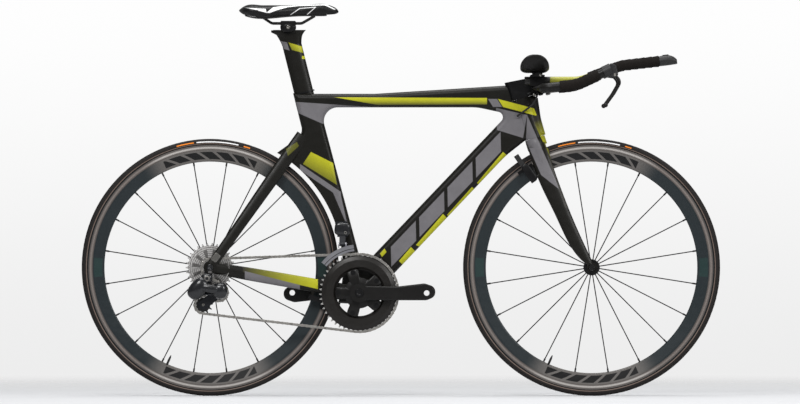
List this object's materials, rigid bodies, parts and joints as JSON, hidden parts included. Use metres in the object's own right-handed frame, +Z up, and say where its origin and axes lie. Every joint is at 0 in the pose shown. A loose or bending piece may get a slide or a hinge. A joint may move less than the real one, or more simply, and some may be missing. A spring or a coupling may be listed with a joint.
{
  "type": "time trial bicycle",
  "caption": "Time trial bicycle with an aero frame, deep-rim spoked wheels, aero bars with arm rests, chain drive, derailleurs, brakes and quick releases.",
  "frame": {"origin": "on the ground midway between the two wheel axles, in the bicycle's middle plane", "axes": "+X forward, +Y to the rider's left, +Z up"},
  "size_m": [1.6605, 0.421, 1.0196],
  "materials": {
    "frame_paint": "satin black paint with grey and yellow panels",
    "carbon_black": "satin black moulded composite",
    "rim_slate": "slate grey deep rim with a light machined brake track",
    "tyre_black": "black rubber tread",
    "anodised_black": "black anodised metal",
    "polished_alloy": "polished alloy",
    "bright_steel": "bright steel",
    "mech_grey": "dark blue-grey gloss",
    "pad_foam": "black soft foam with a fabric face",
    "saddle_skin": "black smooth cover with white panels",
    "grip_tape": "black wrapped tape",
    "black_rubber": "black rubber",
    "plastic_black": "black plastic"
  },
  "bodies": {
    "frame": {"main_frame": "frame_paint", "seat_stays": "frame_paint", "chain_stays": "frame_paint", "derailleur_hanger": "anodised_black", "bottom_bracket_cups": "anodised_black", "headset_bearings": "bright_steel", "seat_collar": "anodised_black", "chain": "bright_steel", "fd_body": "mech_grey", "brake_housing": "black_rubber", "rear_axle": "anodised_black", "rd_knuckle": "mech_grey"},
    "post": {"seatpost": "frame_paint"},
    "rail_clamp": {"saddle_clamp": "anodised_black"},
    "saddle": {"saddle_rails": "anodised_black", "saddle_cover": "saddle_skin", "saddle_shell": "plastic_black"},
    "steering": {"fork": "frame_paint", "stem": "anodised_black", "base_bar": "carbon_black", "bar_tape": "grip_tape", "armrest_brackets": "anodised_black", "armrest_cups": "carbon_black", "armrest_pads": "pad_foam", "extension_bars": "frame_paint", "shifter_bodies": "plastic_black", "brake_lever_bodies": "carbon_black", "front_axle": "anodised_black"},
    "front_wheel": {"front_tyre": "tyre_black", "front_rim": "rim_slate", "front_spokes": "anodised_black", "front_hub": "anodised_black"},
    "rear_wheel": {"rear_tyre": "tyre_black", "rear_rim": "rim_slate", "rear_spokes": "anodised_black", "rear_hub": "anodised_black"},
    "crankset": {"drive_crank": "carbon_black", "left_crank": "carbon_black", "outer_chainring": "anodised_black", "inner_chainring": "anodised_black", "chainring_bolts": "anodised_black"},
    "sprockets": {"cassette": "bright_steel"},
    "left_lever": {"left_brake_lever": "carbon_black"},
    "right_lever": {"right_brake_lever": "carbon_black"},
    "left_button": {"left_shift_button": "plastic_black"},
    "right_button": {"right_shift_button": "plastic_black"},
    "front_release": {"front_qr_lever": "anodised_black"},
    "rear_release": {"rear_qr_lever": "anodised_black"},
    "front_arm_left": {"front_brake_arm_left": "anodised_black"},
    "front_arm_right": {"front_brake_arm_right": "anodised_black"},
    "rear_arm_left": {"rear_brake_arm_left": "anodised_black"},
    "rear_arm_right": {"rear_brake_arm_right": "anodised_black"},
    "front_mech_link": {"fd_link": "mech_grey"},
    "front_mech_cage": {"fd_cage": "polished_alloy"},
    "rear_mech_outer_link": {"rd_outer_link": "mech_grey"},
    "rear_mech_inner_link": {"rd_inner_link": "mech_grey"},
    "rear_mech_knuckle": {"rd_lower_knuckle": "mech_grey"},
    "rear_mech_cage": {"rd_cage": "mech_grey"},
    "upper_jockey": {"guide_pulley": "plastic_black"},
    "lower_jockey": {"tension_pulley": "plastic_black"}
  },
  "joints": [
    {"name": "steering_turn", "type": "hinge", "parent": "frame", "child": "steering", "pos_m": [0.31651, 0, 0.774], "axis": [-0.2924, 0, 0.9563], "range_deg": [-35, 35], "deforming": ["brake_housing"]},
    {"name": "front_wheel_spin", "type": "hinge", "parent": "steering", "child": "front_wheel", "pos_m": [0.496, 0, 0.334], "axis": [0, 1, 0], "continuous": true},
    {"name": "rear_wheel_spin", "type": "hinge", "parent": "frame", "child": "rear_wheel", "pos_m": [-0.496, 0, 0.334], "axis": [0, 1, 0], "continuous": true},
    {"name": "crank_spin", "type": "hinge", "parent": "frame", "child": "crankset", "pos_m": [-0.10804, 0, 0.2676], "axis": [0, 1, 0], "continuous": true, "deforming": ["chain"]},
    {"name": "cassette_spin", "type": "hinge", "parent": "frame", "child": "sprockets", "pos_m": [-0.496, 0, 0.334], "axis": [0, 1, 0], "continuous": true},
    {"name": "seatpost_height", "type": "slide", "parent": "frame", "child": "post", "axis": [-0.2419, 0, 0.9703], "range_m": [-0.04, 0.04]},
    {"name": "saddle_tilt", "type": "hinge", "parent": "post", "child": "rail_clamp", "pos_m": [-0.29306, 0, 0.9583], "axis": [0, 1, 0], "range_deg": [-8, 8]},
    {"name": "saddle_setback", "type": "slide", "parent": "rail_clamp", "child": "saddle", "axis": [1, 0, 0], "range_m": [-0.006, 0.012]},
    {"name": "left_brake_pull", "type": "hinge", "parent": "steering", "child": "left_lever", "pos_m": [0.554, 0.195, 0.833], "axis": [0, 1, 0], "range_deg": [0, 25], "stiffness_Nm_per_rad": 0.6},
    {"name": "right_brake_pull", "type": "hinge", "parent": "steering", "child": "right_lever", "pos_m": [0.554, -0.195, 0.833], "axis": [0, 1, 0], "range_deg": [0, 25], "stiffness_Nm_per_rad": 0.6},
    {"name": "front_brake_left", "type": "hinge", "parent": "steering", "child": "front_arm_left", "pos_m": [0.34194, 0.029, 0.5624], "axis": [0.829, 0, 0.5592], "range_deg": [0, 1.9]},
    {"name": "front_brake_right", "type": "hinge", "parent": "steering", "child": "front_arm_right", "pos_m": [0.34194, -0.029, 0.5624], "axis": [-0.829, 0, -0.5592], "range_deg": [0, 1.9]},
    {"name": "rear_brake_left", "type": "hinge", "parent": "frame", "child": "rear_arm_left", "pos_m": [-0.23185, 0.029, 0.25575], "axis": [-0.284, 0, -0.9588], "range_deg": [0, 1.9]},
    {"name": "rear_brake_right", "type": "hinge", "parent": "frame", "child": "rear_arm_right", "pos_m": [-0.23185, -0.029, 0.25575], "axis": [0.284, 0, 0.9588], "range_deg": [0, 1.9]},
    {"name": "left_shift_press", "type": "slide", "parent": "steering", "child": "left_button", "axis": [0.1127, 0, -0.9936], "range_m": [0, 0.0015], "stiffness_N_per_m": 400},
    {"name": "right_shift_press", "type": "slide", "parent": "steering", "child": "right_button", "axis": [0.1127, 0, -0.9936], "range_m": [0, 0.0015], "stiffness_N_per_m": 400},
    {"name": "front_release_swing", "type": "hinge", "parent": "steering", "child": "front_release", "pos_m": [0.496, 0.06454, 0.334], "axis": [-0.9135, 0, -0.4067], "range_deg": [0, 170]},
    {"name": "rear_release_swing", "type": "hinge", "parent": "frame", "child": "rear_release", "pos_m": [-0.496, 0.07954, 0.334], "axis": [-0.8191, 0, 0.5736], "range_deg": [0, 170]},
    {"name": "rear_mech_shift", "type": "hinge", "parent": "frame", "child": "rear_mech_outer_link", "pos_m": [-0.52, -0.09016, 0.28066], "axis": [0, 0.7071, 0.7071], "range_deg": [0, 50], "deforming": ["chain"]},
    {"name": "rear_mech_inner_pivot", "type": "hinge", "parent": "frame", "child": "rear_mech_inner_link", "pos_m": [-0.52, -0.07884, 0.26934], "axis": [0, 0.7071, 0.7071], "range_deg": [0, 50]},
    {"name": "rear_mech_lower_pivot", "type": "hinge", "parent": "rear_mech_outer_link", "child": "rear_mech_knuckle", "pos_m": [-0.482, -0.09016, 0.28066], "axis": [0, 0.7071, 0.7071], "range_deg": [-50, 0]},
    {"name": "cage_swing", "type": "hinge", "parent": "rear_mech_knuckle", "child": "rear_mech_cage", "pos_m": [-0.462, -0.06, 0.272], "axis": [0, 1, 0], "range_deg": [-40, 12], "stiffness_Nm_per_rad": 0.5, "deforming": ["chain"]},
    {"name": "upper_jockey_spin", "type": "hinge", "parent": "rear_mech_cage", "child": "upper_jockey", "pos_m": [-0.472, -0.06, 0.269], "axis": [0, 1, 0], "continuous": true},
    {"name": "lower_jockey_spin", "type": "hinge", "parent": "rear_mech_cage", "child": "lower_jockey", "pos_m": [-0.51338, -0.06, 0.23702], "axis": [0, 1, 0], "continuous": true},
    {"name": "front_mech_shift", "type": "hinge", "parent": "frame", "child": "front_mech_link", "pos_m": [-0.152, -0.033, 0.418], "axis": [1, 0, 0], "range_deg": [0, 15], "deforming": ["chain"]},
    {"name": "front_mech_pivot", "type": "hinge", "parent": "front_mech_link", "child": "front_mech_cage", "pos_m": [-0.152, -0.04568, 0.39416], "axis": [1, 0, 0], "range_deg": [-15, 0]}
  ],
  "couplings": [
    {"joint": "cassette_spin", "follows": "crank_spin", "ratio": 4.5455},
    {"joint": "upper_jockey_spin", "follows": "crank_spin", "ratio": -4.5455},
    {"joint": "lower_jockey_spin", "follows": "crank_spin", "ratio": 4.5455},
    {"joint": "front_brake_left", "follows": "left_brake_pull", "ratio": 0.072},
    {"joint": "front_brake_right", "follows": "left_brake_pull", "ratio": 0.072},
    {"joint": "rear_brake_left", "follows": "right_brake_pull", "ratio": 0.072},
    {"joint": "rear_brake_right", "follows": "right_brake_pull", "ratio": 0.072},
    {"joint": "rear_mech_inner_pivot", "follows": "rear_mech_shift", "ratio": 1},
    {"joint": "rear_mech_lower_pivot", "follows": "rear_mech_shift", "ratio": -1},
    {"joint": "front_mech_pivot", "follows": "front_mech_shift", "ratio": -1}
  ]
}
